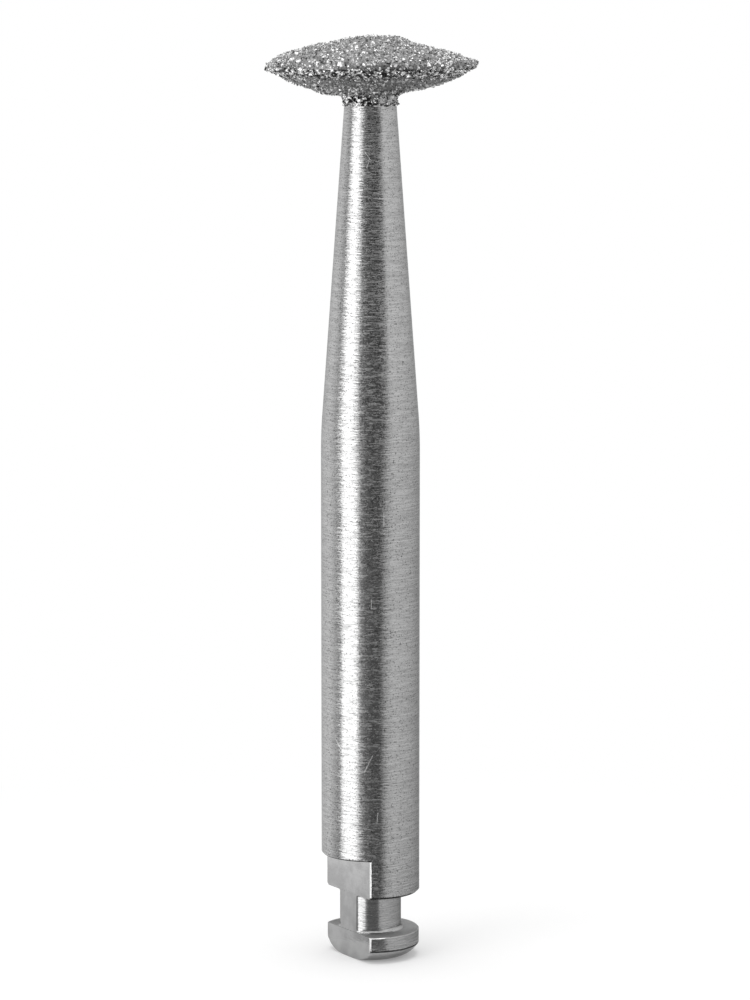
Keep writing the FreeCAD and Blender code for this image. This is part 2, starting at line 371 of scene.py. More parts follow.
def settle(point, normal):
    """Where a point of the true section lies on the plated head, which is a little uneven."""
    r = math.hypot(point.x, point.y)
    side = point.dot(RIGHT)
    rise = WAVE * noise.noise(point / WAVE_LENGTH)
    if normal.z > CROWN_FACING:
        rise -= DISH * smooth(r, *DISH_START) * (1 - smooth(r, *DISH_END))
        rise += CREST * (1 - smooth(r, *CREST_END))
        rise += CREST_TILT * side * (1 - smooth(r, *TILT_END))
        slant = smooth(r, *SLANT_START) * (1 - smooth(r, *SLANT_END))
        rise -= SLANT * slant * side / max(r, NECK_R)
    if normal.z < BELLY_FACING:
        lip = math.exp(-((r - BELLY_SLANT_R) / BELLY_SLANT_WIDTH) ** 2)
        rise -= BELLY_SLANT * lip * side / max(r, NECK_R)
        rise -= RIM_DROP * smooth(r, *RIM_DROP_START) * min(0, side) / r
    rise -= SKIRT_THINNING * (1 - smooth(point.z, *THINNING_HEIGHTS))
    moved = point + normal * rise
    on_head = smooth(point.z, *HEAD_HEIGHTS)
    return moved + RIGHT * OFF_CENTRE * on_head + Vector((0, 0, LEAN * side)) * on_head


# The plating: how deep it lies below the grains' true form, its roughness in two sizes of
# lump, its ragged lower edge, and how far above that edge its inner skin starts
BOND_RING = 260
BOND_HEADINGS = [math.tau * i / BOND_RING for i in range(BOND_RING)]
BOND_SHARP = 50 * DEG
BOND_DEPTH = 0.030 * MM
BOND_ROUGHNESS = 0.014 * MM
ROUGH_LUMP = 0.11 * MM
FINE_LUMP = 0.05 * MM
FINE_SHARE = 0.6
RAGGED_EDGE = 0.07 * MM
RAGGED_LUMPS = 5.0
SKIN_STEP = 0.02 * MM


def plated_ring(place, outward, ragged):
    """One ring of the plating's rough outer skin, its heights straying by up to ragged."""
    points = []
    for heading in BOND_HEADINGS:
        point = Vector(heading_point(place[0], heading, place[1]))
        normal = Vector(heading_point(outward[0], heading, outward[1]))
        rough = noise.noise(point / ROUGH_LUMP) + FINE_SHARE * noise.noise(point / FINE_LUMP)
        spot = settle(point, normal) - normal * (BOND_DEPTH - BOND_ROUGHNESS * rough)
        around = Vector((math.cos(heading), math.sin(heading), 0))
        spot.z += ragged * noise.noise(around * RAGGED_LUMPS)
        points.append(tuple(spot))
    return points


def nickel_bond():
    """The plating between the grains: a closed shell on the steel with a ragged lower edge."""
    section = coat_section()
    rings = []
    for place, outward in zip(section[:-1], section_normals(section)):
        ragged = 0 if rings else RAGGED_EDGE
        rings.append(plated_ring(place, outward, ragged))
    top = settle(Vector((0, 0, TOP)), Vector((0, 0, 1))) - Vector((0, 0, BOND_DEPTH))
    vertices, faces = capped(rings, tuple(top), first=0)
    skin_r = NECK_R + math.tan(TAPER_ANGLE) * (ROOT - SKIRT_END - SKIN_STEP)
    skin = [(skin_r, SKIRT_END + SKIN_STEP)] + core_section()
    skin_rings = [[heading_point(r, heading, z) for heading in BOND_HEADINGS] for r, z in skin]
    inner, inner_faces = capped(skin_rings, (0, 0, TOP - COAT), first=len(vertices))
    inner_faces += stitch(0, len(vertices), BOND_RING)
    faces += [tuple(reversed(face)) for face in inner_faces]
    return make_object("nickel_bond", vertices + inner, faces, BOND_SHARP)


# Each crop of grains: tries, room kept round each, their least and most radius, and whether
# it lies only near the rim and on the skirt
GRAIN_CROPS = [(9000, 0.118 * MM, 0.052 * MM, 0.080 * MM, False),
               (30000, 0.058 * MM, 0.024 * MM, 0.044 * MM, False),
               (60000, 0.034 * MM, 0.015 * MM, 0.024 * MM, True)]
GRAIN_SEED = 5
CROWDING = 0.86
EDGE_GLITTER = 0.3
SKIRT_TOP = ROOT - 0.08 * MM
SKIRT_GRAIN = 0.05 * MM

# The grains' forms: how many there are, their corners, and how far out the corners lie
GRAIN_FORMS = 24
FORM_CORNERS = (8, 11)
FORM_REACH = (0.85, 1.0)
GRAIN_WIDTHS = (0.8, 1.15)
GRAIN_HEIGHTS = (0.8, 1.1)

# How far the grains' tops stand out, in mm and as a share of the radius, more at the rim and
# less at the two sides, and how far their middles lie below their tops
STAND_MM = (-0.012, 0.026)
STAND_SHARE = 0.12
RIM_STAND_MM = (-0.01, 0.035)
RIM_RADII = (2.2 * MM, 2.45 * MM)
SIDE_SINK = 0.035 * MM
SIDES = (2.0 * MM, 2.4 * MM)
BELOW_TOP = 0.92

# The grains' tones. Contrast is given for large grains, with what fine ones have more
MIDDLE_TONE = 0.40
DARKEST_TONE = 0.24
TONE_RANGE = 0.62
TONE_SKEW = 1.7
FINE_RADII = (0.030 * MM, 0.055 * MM)
CONTRAST, FINE_CONTRAST = 0.8, 0.6
GLITTER_CONTRAST, FINE_GLITTER_CONTRAST = 0.8, 1.9
GLITTER_LIFT = 0.06
TONE_LIMITS = (0.02, 0.95)

# Where the grains glitter: under the rim, and on the skirt
GLITTER_RADII = (1.9 * MM, 2.2 * MM)
RIM_HEIGHTS = (RIM_TOP, RIM_TOP + 0.25 * MM)
SKIRT_HEIGHTS = (ROOT - 0.1 * MM, ROOT + 0.15 * MM)


def glitter(point):
    """How much the grains differ in tone, most under the rim and on the skirt."""
    r = math.hypot(point.x, point.y)
    under_rim = smooth(r, *GLITTER_RADII) * (1 - smooth(point.z, *RIM_HEIGHTS))
    return max(under_rim, 1 - smooth(point.z, *SKIRT_HEIGHTS))


def grain_forms(draw):
    """Hulls of random points on a ball, as blocky crystals: vertices and triangles of each."""
    forms = []
    for _ in range(GRAIN_FORMS):
        work = bmesh.new()
        for _ in range(draw.randint(*FORM_CORNERS)):
            point = Vector((draw.gauss(0, 1), draw.gauss(0, 1), draw.gauss(0, 1))).normalized()
            work.verts.new(point * draw.uniform(*FORM_REACH))
        bmesh.ops.convex_hull(work, input=work.verts)
        bmesh.ops.delete(work, geom=[v for v in work.verts if not v.link_faces], context="VERTS")
        work.verts.index_update()
        corners = [v.co.copy() for v in work.verts]
        forms.append((corners, [tuple(v.index for v in face.verts) for face in work.faces]))
        work.free()
    return forms


def span_areas(section):
    """The coat's area, for each radian round, from the skirt up to the end of each span."""
    areas = []
    total = 0
    for (r0, z0), (r1, z1) in zip(section, section[1:]):
        total += (r0 + r1) / 2 * math.hypot(r1 - r0, z1 - z0)
        areas.append(total)
    return areas


def part_way(pairs, span, share):
    """The pair of numbers that share of the way along a span of a list of pairs."""
    return (a + (b - a) * share for a, b in zip(pairs[span], pairs[span + 1]))


def neighbours(grid, key):
    """The grains seated in a cell of the grid and in the cells round it."""
    steps = (-1, 0, 1)
    return [grain for dx in steps for dy in steps for dz in steps
            for grain in grid.get((key[0] + dx, key[1] + dy, key[2] + dz), ())]


def out_of_place(point, radius, at_edges):
    """Whether a grain is of the wrong crop or too large for its place."""
    if at_edges and glitter(point) < EDGE_GLITTER:
        return True
    return point.z < SKIRT_TOP and radius > SKIRT_GRAIN


def grain_seats(draw):
    """Seats scattered over the coat: where, the way out, and the radius of each grain."""
    section = coat_section()
    normals = section_normals(section)
    areas = span_areas(section)
    cell = max(room for _, room, _, _, _ in GRAIN_CROPS)
    grid = {}
    seats = []
    for tries, room, least, most, at_edges in GRAIN_CROPS:
        for _ in range(tries):
            span = min(bisect.bisect(areas, draw.uniform(0, areas[-1])), len(areas) - 1)
            share, heading = draw.random(), draw.uniform(0, math.tau)
            r, z = part_way(section, span, share)
            nr, nz = part_way(normals, span, share)
            point = Vector(heading_point(r, heading, z))
            radius = draw.uniform(least, most)
            if out_of_place(point, radius, at_edges):
                continue
            key = tuple(math.floor(c / cell) for c in point)
            if any((point - spot).length < max(room, (radius + size) * CROWDING)
                   for spot, size in neighbours(grid, key)):
                continue
            grid.setdefault(key, []).append((point, radius))
            seats.append((point, Vector(heading_point(nr, heading, nz)).normalized(), radius))
    return seats


def grain_centre(draw, point, normal, radius):
    """Where the middle of a grain lies, sunk in the plating."""
    top = draw.uniform(*STAND_MM) * MM + radius * STAND_SHARE
    at_rim = smooth(math.hypot(point.x, point.y), *RIM_RADII)
    top += draw.uniform(*RIM_STAND_MM) * MM * at_rim
    top -= SIDE_SINK * smooth(abs(point.dot(RIGHT)), *SIDES)
    return settle(point, normal) + normal * (top - radius * BELOW_TOP)


def grain_tone(draw, point, radius):
    """A grain's own tone, which strays most from the middle one in fine and glittering grains."""
    own = DARKEST_TONE + TONE_RANGE * draw.random() ** TONE_SKEW
    fine = 1 - smooth(radius, *FINE_RADII)
    contrast = CONTRAST + FINE_CONTRAST * fine
    contrast += (GLITTER_CONTRAST + FINE_GLITTER_CONTRAST * fine) * glitter(point)
    tone = MIDDLE_TONE + GLITTER_LIFT * glitter(point) + (own - MIDDLE_TONE) * contrast
    return min(max(tone, TONE_LIMITS[0]), TONE_LIMITS[1])


def diamond_grains():
    """The crystals that stand out of the plating, flat-faced, each with a shade of its own."""
    draw = random.Random(GRAIN_SEED)
    forms = grain_forms(draw)
    vertices = []
    faces = []
    shades = []
    for point, normal, radius in grain_seats(draw):
        corners, triangles = forms[draw.randrange(GRAIN_FORMS)]
        limits = (GRAIN_WIDTHS, GRAIN_WIDTHS, GRAIN_HEIGHTS)
        stretch = Vector([draw.uniform(*pair) for pair in limits])
        turn = Euler([draw.uniform(0, math.tau) for _ in range(3)]).to_matrix()
        centre = grain_centre(draw, point, normal, radius)
        first = len(vertices)
        vertices += [tuple(centre + turn @ (corner * stretch * radius)) for corner in corners]
        faces += [tuple(first + i for i in triangle) for triangle in triangles]
        shades += [grain_tone(draw, point, radius)] * len(corners)
    grains = make_object("diamond_grains", vertices, faces)
    shade = grains.data.attributes.new("shade", "FLOAT", "POINT")
    shade.data.foreach_set("value", shades)
    return grains


bond = nickel_bond()
grains = diamond_grains()
for piece in (bond, grains):
    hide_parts("diamond_coating")
    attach(piece, "root")


def new_material(name):
    """An empty node material, its node tree and its output node."""
    material = bpy.data.materials.new(name)
    material.use_nodes = True
    tree = material.node_tree
    tree.nodes.clear()
    return material, tree, tree.nodes.new("ShaderNodeOutputMaterial")


def add(tree, kind, inputs=None, **settings):
    """A node with its settings, its inputs set to values or linked to sockets."""
    node = tree.nodes.new(kind)
    for name, value in settings.items():
        setattr(node, name, value)
    for key, value in (inputs or {}).items():
        if isinstance(value, bpy.types.NodeSocket):
            tree.links.new(value, node.inputs[key])
        else:
            node.inputs[key].default_value = value
    return node


def math_node(tree, operation, *values, clamp=False):
    """The output of a Math node on up to three values or sockets."""
    inputs = dict(enumerate(values))
    return add(tree, "ShaderNodeMath", inputs, operation=operation, use_clamp=clamp).outputs[0]


def vector_node(tree, operation, *values):
    """The outputs of a Vector Math node on one or two vectors or sockets."""
    inputs = dict(enumerate(values))
    return add(tree, "ShaderNodeVectorMath", inputs, operation=operation).outputs


def remap(tree, value, low, high, to_low=0.0, to_high=1.0):
    """The value's range from low to high moved smoothly to another, and held beyond it."""
    inputs = {"Value": value, "From Min": low, "From Max": high,
              "To Min": to_low, "To Max": to_high}
    node = add(tree, "ShaderNodeMapRange", inputs, interpolation_type="SMOOTHSTEP")
    return node.outputs["Result"]


def between(tree, value, low, high, soft):
    """1 where the value lies between low and high, falling to 0 over soft beyond them."""
    above = remap(tree, value, low - soft, low)
    below = remap(tree, value, high, high + soft, 1.0, 0.0)
    return math_node(tree, "MULTIPLY", above, below)


def object_place(tree):
    """A place in the object's own coordinates, as a vector and as X, Y and Z."""
    place = add(tree, "ShaderNodeTexCoord").outputs["Object"]
    return place, add(tree, "ShaderNodeSeparateXYZ", {0: place}).outputs


def object_noise(tree, lumps, **inputs):
    """Noise over the object, with so many lumps per mm across the axis and along it."""
    across, along = lumps
    place = add(tree, "ShaderNodeTexCoord").outputs["Object"]
    scaled = vector_node(tree, "MULTIPLY", place, (across / MM, across / MM, along / MM))
    settings = {"Vector": scaled[0], "Scale": 1.0, "Detail": 2.0}
    settings.update(inputs)
    return add(tree, "ShaderNodeTexNoise", settings).outputs["Fac"]


def from_axis(tree, place):
    """How far a place lies from the turning axis."""
    flat = vector_node(tree, "MULTIPLY", place, (1, 1, 0))[0]
    return vector_node(tree, "LENGTH", flat)["Value"]


def grey(tree, tone):
    """The grey colour of a tone."""
    return add(tree, "ShaderNodeCombineColor", {0: tone, 1: tone, 2: tone}).outputs[0]


def bumped(tree, height, distance):
    """The surface's normal with a bump, where the height is in that distance."""
    inputs = {"Strength": 1.0, "Distance": distance, "Height": height}
    return add(tree, "ShaderNodeBump", inputs).outputs[0]


# Handling marks on the shank and neck, each from one (heading in degrees, height in mm) to
# another
SCRATCHES = [
    ((47.5, 19.32), (58.4, 19.13)),
    ((56.1, 19.13), (51.5, 18.97)),
    ((60.3, 5.08), (50.9, 4.68)),
    ((13.1, 5.42), (21.4, 5.20)),
    ((66.7, 3.70), (65.4, 3.44)),
    ((59.0, 8.82), (59.0, 8.61)),
    ((59.0, 8.61), (64.7, 8.61)),
    ((73.5, 10.89), (73.5, 10.58)),
    ((25.7, 15.89), (30.9, 15.80)),
    ((30.9, 15.80), (43.2, 15.69)),
    ((151, 6.2), (160, 6.6)),
    ((214, 12.0), (211, 11.6)),
    ((262, 4.4), (274, 4.5)),
    ((240, 17.5), (252, 17.3)),
]
SCRATCH_CORE = 0.006 * MM
SCRATCH_WIDTH = 0.015 * MM

# Lumps per mm, across the axis and along it, of the steel's textures, and which of their
# values are torn, specks and pits
STREAKS = (4.5, 28.0)
LINES = (1.6, 25.0)
STEEL_GRAIN = (26.0, 38.0)
SMEARS = (2.5, 2.5)
STREAK_ROUGHNESS = 0.6
TORN = (0.55, 0.60)
SPECKS = (0.58, 0.66)
PITS = (0.42, 0.34)

# The share of worn spots and pits left on the milled flat and at the latch end, the roughness
# of clean steel, what wear adds to it, and how worn scratches are
MILLED_CALM = 0.2
LATCH_CALM = 0.45
STEEL_POLISH = 0.10
STEEL_WEAR = 0.37
SCRATCH_WEAR = 1.3

# The steel's tone, and what pits, scratches, the foot's collar and the painted shade lines under
# edges do to it
STEEL_TONE = 0.39
PIT_TONE = -0.26
SCRATCH_TONE = 0.25
COLLAR_TONE = -0.08
EDGE_SHADE_DARKNESS = 0.85
LINE_TONES = (0.3, 0.7, -0.05, 0.05)
SMEAR_TONES = (0.35, 0.65, -0.03, 0.04)

# Borders: how soft they are, how ragged the painted edge shade's are, and heights of the collar
# and painted edge shade
HAIR = 0.01 * MM
EDGE_SHADE_RAGGED = 0.03 * MM
EDGE_SHADE_RADIUS = FOOT_R - 0.05 * MM
MILLED_TOP = FLAT_TOP + 0.002 * MM
COLLAR = (FOOT_TOP - 0.004 * MM, FOOT_TOP + 0.01 * MM)
FOOT_EDGE_SHADE = (FOOT_SIDE + 0.005 * MM, FOOT_SIDE + 0.038 * MM)
END_EDGE_SHADE = (GROOVE_TOP, GROOVE_TOP + END_BREAK + 0.01 * MM)
SHOULDER_EDGE_SHADE = (FLAT_TOP, FLAT_TOP + SHOULDER_BREAK)

# The steel's relief: its depth, the shares of streaks and grain beside the lines, how much of
# it is left on the milled flat and on the neck, and what the latch end takes off
RELIEF = 0.0125 * MM
STREAK_RELIEF = 0.4
GRAIN_RELIEF = 0.07
MILLED_RELIEF = 0.15
LATCH_RELIEF = -0.5
NECK_RELIEF = 0.8
NECK_HEIGHTS = (TAPER_START - 0.5 * MM, TAPER_START + 0.8 * MM)


def steel_radius(z):
    """The radius of the shank or the neck at a height."""
    return SHANK_R - max(0, z - TAPER_START) * math.tan(TAPER_ANGLE)


def scratches(tree, place):
    """1 along each of the handling marks, 0 elsewhere."""
    marks = 0.0
    for ends in SCRATCHES:
        start, end = (Vector(heading_point(steel_radius(z * MM), heading * DEG, z * MM))
                      for heading, z in ends)
        along = end - start
        off = vector_node(tree, "SUBTRACT", place, start)[0]
        share = vector_node(tree, "DOT_PRODUCT", off, along / along.length_squared)["Value"]
        share = math_node(tree, "ADD", share, 0.0, clamp=True)
        nearest = add(tree, "ShaderNodeVectorMath", {0: along, "Scale": share}, operation="SCALE")
        off = vector_node(tree, "SUBTRACT", off, nearest.outputs[0])[0]
        away = vector_node(tree, "LENGTH", off)["Value"]
        mark = remap(tree, away, SCRATCH_CORE, SCRATCH_WIDTH, 1.0, 0.0)
        marks = math_node(tree, "MAXIMUM", mark, marks)
    return marks


def steel_zones(tree, parts):
    """Masks of the steel: its front, the milled flat, the turned rest, latch end and collar."""
    low_down = math_node(tree, "LESS_THAN", parts["Z"], MILLED_TOP)
    front = math_node(tree, "LESS_THAN", parts["Y"], HAIR - FLAT_REACH)
    milled = math_node(tree, "MULTIPLY", low_down, front)
    return {
        "front": front,
        "milled": milled,
        "turned": math_node(tree, "SUBTRACT", 1.0, milled),
        "latch": math_node(tree, "LESS_THAN", parts["Z"], GROOVE_TOP),
        "collar": between(tree, parts["Z"], *COLLAR, HAIR),
    }


def steel_texture(tree, zones):
    """Masks of the worn spots and of the pits between them, and the noise of the grain."""
    grain = object_noise(tree, STEEL_GRAIN)
    streaks = object_noise(tree, STREAKS, Roughness=STREAK_ROUGHNESS)
    worn = math_node(tree, "MAXIMUM", remap(tree, streaks, *TORN), remap(tree, grain, *SPECKS))
    quiet = math_node(tree, "MULTIPLY_ADD", zones["turned"], 1 - MILLED_CALM, MILLED_CALM)
    quiet_end = math_node(tree, "MULTIPLY_ADD", zones["latch"], LATCH_CALM - 1, 1.0)
    calm = math_node(tree, "MULTIPLY", quiet, quiet_end)
    worn = math_node(tree, "MULTIPLY", worn, calm)
    pits = math_node(tree, "MULTIPLY", remap(tree, grain, *PITS), calm)
    return worn, pits, grain, streaks


def painted_edge_shade(tree, place, parts, zones, grain):
    """1 on the painted shade lines under the edges at the foot, the shank's end and the shoulder,
    0 elsewhere.
    """
    ragged = math_node(tree, "MULTIPLY_ADD", grain, EDGE_SHADE_RAGGED, parts["Z"])
    outside = math_node(tree, "GREATER_THAN", from_axis(tree, place), EDGE_SHADE_RADIUS)
    foot = between(tree, ragged, *FOOT_EDGE_SHADE, HAIR)
    shank_end = between(tree, ragged, *END_EDGE_SHADE, HAIR)
    shoulder = between(tree, ragged, *SHOULDER_EDGE_SHADE, HAIR)
    shoulder = math_node(tree, "MULTIPLY", shoulder, zones["front"])
    edge_shade = math_node(tree, "MAXIMUM", math_node(tree, "MAXIMUM", foot, shank_end), shoulder)
    where = math_node(tree, "MULTIPLY", outside, zones["turned"])
    return math_node(tree, "MULTIPLY", edge_shade, where)


def steel_tone(tree, zones, pits, lines, nicks, edge_shade):
    """The steel's tone: darker in pits and on painted shade lines under edges, brighter in
    scratches, with faint lines.
    """
    tone = math_node(tree, "MULTIPLY_ADD", pits, PIT_TONE, STEEL_TONE)
    shading = remap(tree, lines, *LINE_TONES)
    tone = math_node(tree, "MULTIPLY_ADD", zones["turned"], shading, tone)
    smears = remap(tree, object_noise(tree, SMEARS), *SMEAR_TONES)
    tone = math_node(tree, "MULTIPLY_ADD", zones["milled"], smears, tone)
    tone = math_node(tree, "MULTIPLY_ADD", nicks, SCRATCH_TONE, tone)
    tone = math_node(tree, "MULTIPLY_ADD", zones["collar"], COLLAR_TONE, tone)
    unshaded = math_node(tree, "MULTIPLY_ADD", edge_shade, -EDGE_SHADE_DARKNESS, 1.0)
    return math_node(tree, "MULTIPLY", tone, unshaded)


def steel_relief(tree, parts, zones, streaks, grain, lines):
    """The normal of the turned steel, with lines, streaks and grain in relief."""
    height = math_node(tree, "MULTIPLY_ADD", streaks, STREAK_RELIEF, lines)
    height = math_node(tree, "MULTIPLY_ADD", grain, GRAIN_RELIEF, height)
    left = math_node(tree, "MULTIPLY_ADD", zones["turned"], 1 - MILLED_RELIEF, MILLED_RELIEF)
    height = math_node(tree, "MULTIPLY", height, left)
    left = remap(tree, parts["Z"], *NECK_HEIGHTS, 1.0, NECK_RELIEF)
    left = math_node(tree, "MULTIPLY_ADD", zones["latch"], LATCH_RELIEF, left)
    return bumped(tree, math_node(tree, "MULTIPLY", height, left), RELIEF)


def steel_finish():
    """Bright turned steel: short fine streaks round the axis, grain, and a few long scratches."""
    material, tree, out = new_material("turned_steel")
    place, parts = object_place(tree)
    zones = steel_zones(tree, parts)
    worn, pits, grain, streaks = steel_texture(tree, zones)
    lines = object_noise(tree, LINES, Roughness=STREAK_ROUGHNESS)
    nicks = scratches(tree, place)
    rough = math_node(tree, "MAXIMUM", worn, math_node(tree, "MULTIPLY", nicks, SCRATCH_WEAR))
    rough = math_node(tree, "MAXIMUM", rough, zones["collar"])
    # Painted shade: dark lines under the edges of the foot, the shank's end and the shoulder
    edge_shade = painted_edge_shade(tree, place, parts, zones, grain)
    tangent = add(tree, "ShaderNodeTangent", direction_type="RADIAL", axis="Z")
    shader = add(tree, "ShaderNodeBsdfPrincipled", {
        "Base Color": grey(tree, steel_tone(tree, zones, pits, lines, nicks, edge_shade)),
        "Metallic": 1.0,
        "Roughness": math_node(tree, "MULTIPLY_ADD", rough, STEEL_WEAR, STEEL_POLISH),
        "Specular Tint": (0.65, 0.65, 0.65, 1),
        "Anisotropic": 0.8,
        "Anisotropic Rotation": 0.25,
        "Normal": steel_relief(tree, parts, zones, streaks, grain, lines),
        "Tangent": tangent.outputs[0],
    })
    tree.links.new(shader.outputs[0], out.inputs[0])
    return material


steel.data.materials.append(steel_finish())


# The belly, the head's underside, is painted darker as shade, up to an uneven border at the rim
BORDER_LUMPS = (7.0, 7.0)
BORDER_STRAY = 0.5 * MM
BORDER = (RIM_TOP + 0.05 * MM, RIM_TOP + 0.30 * MM)
BOND_SHADE_ON_BELLY = 0.72
GRAINS_SHADE_ON_BELLY = 0.80

# Clusters of painted shade in gaps and painted white glints just under the rim and on the skirt
CLUSTERS = (9.0, 13.0)
UNDER_RIM = (RIM_BOTTOM - 0.20 * MM, RIM_BOTTOM - 0.05 * MM)
UNDER_RIM_SOFT = 0.06 * MM
ON_SKIRT = (ROOT - 0.12 * MM, ROOT + 0.02 * MM)
SHADED_GAPS = (0.48, 0.44)
GLINTS = (0.55, 0.59)
GAP_SHADE = 0.96

# The plating: lumps per mm of its mottle, spots and grain, and its tones, the painted glints' too
MOTTLE = (9.0, 9.0)
SPOTS = (24.0, 24.0)
PLATING_GRAIN = (40.0, 40.0)
PLATING_TONE = 0.03
MOTTLE_TONE = 0.34
SPOTTED_SKIRT = (ROOT - 0.12 * MM, ROOT)
SPOT_TONES = (0.40, 0.58, -0.9, 1.6)
PLATING_GLINT = 0.90
PLATING_RELIEF = 0.01 * MM

# The crystals: lumps per mm of their dull chips, and how chips and the painted glints change them
CHIPS = (30.0, 30.0)
CHIP_DETAIL = 3.0
DULL = (0.42, 0.62)
CLEAN_TONE = 1.15
DULL_TONE = -0.55
GRAIN_GLINT = 0.97
GRAIN_METAL = 0.75
GLINT_METAL = 0.25
GRAIN_POLISH = 0.20
DULL_WEAR = 0.35
GLINT_POLISH = -0.82
CHIP_RELIEF = 0.014 * MM


def object_height(tree):
    """The height of a place on the object."""
    return object_place(tree)[1]["Z"]


def painted_belly_shade(tree, share):
    """Painted shade: 1 on the crown and that share on the belly, with an uneven border at the rim.
    """
    stray = object_noise(tree, BORDER_LUMPS)
    height = math_node(tree, "MULTIPLY_ADD", stray, BORDER_STRAY, object_height(tree))
    return remap(tree, height, *BORDER, share, 1.0)


def painted_gaps_and_glints(tree):
    """Clusters just under the rim and on the skirt: 1 in the gaps' painted shade, and 1 on painted
    glints.
    """
    height = object_height(tree)
    under_rim = between(tree, height, *UNDER_RIM, UNDER_RIM_SOFT)
    where = math_node(tree, "MAXIMUM", under_rim, remap(tree, height, *ON_SKIRT, 1.0, 0.0))
    lumps = object_noise(tree, CLUSTERS)
    shaded_gaps = math_node(tree, "MULTIPLY", remap(tree, lumps, *SHADED_GAPS), where)
    glints = math_node(tree, "MULTIPLY", remap(tree, lumps, *GLINTS), where)
    return shaded_gaps, glints


def with_clusters(tree, tone, shaded_gaps, glints, glint_tone):
    """The tone, darkened by painted shade in gaps and raised to a painted glint's tone of its own.
    """
    tone = math_node(tree, "MULTIPLY", tone,
                     math_node(tree, "MULTIPLY_ADD", shaded_gaps, -GAP_SHADE, 1.0))
    return math_node(tree, "MAXIMUM", tone, math_node(tree, "MULTIPLY", glints, glint_tone))


def bond_finish():
    """Matt grey nickel plating, uneven in tone, with painted shade on the belly and in gaps, and
    painted glints.
    """
    material, tree, out = new_material("nickel_plating")
    mottle = object_noise(tree, MOTTLE)
    tone = math_node(tree, "MULTIPLY_ADD", mottle, MOTTLE_TONE, PLATING_TONE)
    # Painted shade on the belly
    tone = math_node(tree, "MULTIPLY", tone, painted_belly_shade(tree, BOND_SHADE_ON_BELLY))
    skirt = remap(tree, object_height(tree), *SPOTTED_SKIRT, 1.0, 0.0)
    spots = remap(tree, object_noise(tree, SPOTS), *SPOT_TONES)
    spotted = math_node(tree, "MULTIPLY_ADD", skirt, spots, 1.0)
    tone = math_node(tree, "MULTIPLY", tone, spotted)
    # Painted shade in the gaps and painted glints
    tone = with_clusters(tree, tone, *painted_gaps_and_glints(tree), PLATING_GLINT)
    shader = add(tree, "ShaderNodeBsdfPrincipled", {
        "Base Color": grey(tree, tone),
        "Metallic": 0.8,
        "Roughness": 0.42,
        "Normal": bumped(tree, object_noise(tree, PLATING_GRAIN), PLATING_RELIEF),
    })
    tree.links.new(shader.outputs[0], out.inputs[0])
    return material


def grain_finish():
    """Grey crystals in plating: own tones, glinting facets, dull chips, painted shade and painted
    glints.
    """
    material, tree, out = new_material("diamond_grit")
    shade = add(tree, "ShaderNodeAttribute", attribute_name="shade").outputs["Fac"]
    chips = object_noise(tree, CHIPS, Detail=CHIP_DETAIL)
    dull = remap(tree, chips, *DULL)
    shaded_gaps, glints = painted_gaps_and_glints(tree)
    # Painted shade on the belly
    tone = math_node(tree, "MULTIPLY", shade, painted_belly_shade(tree, GRAINS_SHADE_ON_BELLY))
    dulled = math_node(tree, "MULTIPLY_ADD", dull, DULL_TONE, CLEAN_TONE)
    tone = math_node(tree, "MULTIPLY", tone, dulled)
    # Painted shade in the gaps and painted glints, which also get more metal and polish
    tone = with_clusters(tree, tone, shaded_gaps, glints, GRAIN_GLINT)
    roughness = math_node(tree, "MULTIPLY_ADD", dull, DULL_WEAR, GRAIN_POLISH)
    polished = math_node(tree, "MULTIPLY_ADD", glints, GLINT_POLISH, 1.0)
    shader = add(tree, "ShaderNodeBsdfPrincipled", {
        "Base Color": grey(tree, tone),
        "Metallic": math_node(tree, "MULTIPLY_ADD", glints, GLINT_METAL, GRAIN_METAL),
        "Roughness": math_node(tree, "MINIMUM", roughness, polished),
        "Normal": bumped(tree, chips, CHIP_RELIEF),
    })
    tree.links.new(shader.outputs[0], out.inputs[0])
    return material


bond.data.materials.append(bond_finish())
grains.data.materials.append(grain_finish())


def add_camera():
    """The photograph's camera."""
    data = bpy.data.cameras.new("camera")
    data.sensor_width = SENSOR_MM
    data.lens = FOCAL_PIXELS / IMAGE_HEIGHT * SENSOR_MM
    data.clip_start = CLIP_START
    data.clip_end = CLIP_END
    camera = bpy.data.objects.new("camera", data)
    camera.location = heading_point(CAMERA_DISTANCE, CAMERA_HEADING, CAMERA_HEIGHT)
    turn = (math.pi / 2 - CAMERA_PITCH, 0, CAMERA_HEADING + CAMERA_YAW)
    camera.rotation_euler = Euler(turn)
    bpy.context.scene.collection.objects.link(camera)
    bpy.context.scene.camera = camera


def seen(tree):
    """1 for camera, glossy and transmission rays, which see the white surroundings."""
    path = add(tree, "ShaderNodeLightPath").outputs
    glossy = math_node(tree, "MAXIMUM", path["Is Camera Ray"], path["Is Glossy Ray"])
    return math_node(tree, "MAXIMUM", glossy, path["Is Transmission Ray"])


WORLD_LIGHT = 0.65


def add_world():
    """A white surround to look at, which lights the object at a plain level."""
    world = bpy.data.worlds.new("studio")
    bpy.context.scene.world = world
    world.use_nodes = True
    tree = world.node_tree
    tree.nodes.clear()
    level = math_node(tree, "MULTIPLY_ADD", seen(tree), 1 - WORLD_LIGHT, WORLD_LIGHT)
    sky = add(tree, "ShaderNodeBackground", {"Color": WHITE, "Strength": level})
    out = add(tree, "ShaderNodeOutputWorld")
    tree.links.new(sky.outputs[0], out.inputs[0])


FLOOR_SIZE = 2.0
FLOOR_COLOUR = 0.8
FADE = (7 * MM, 22 * MM)


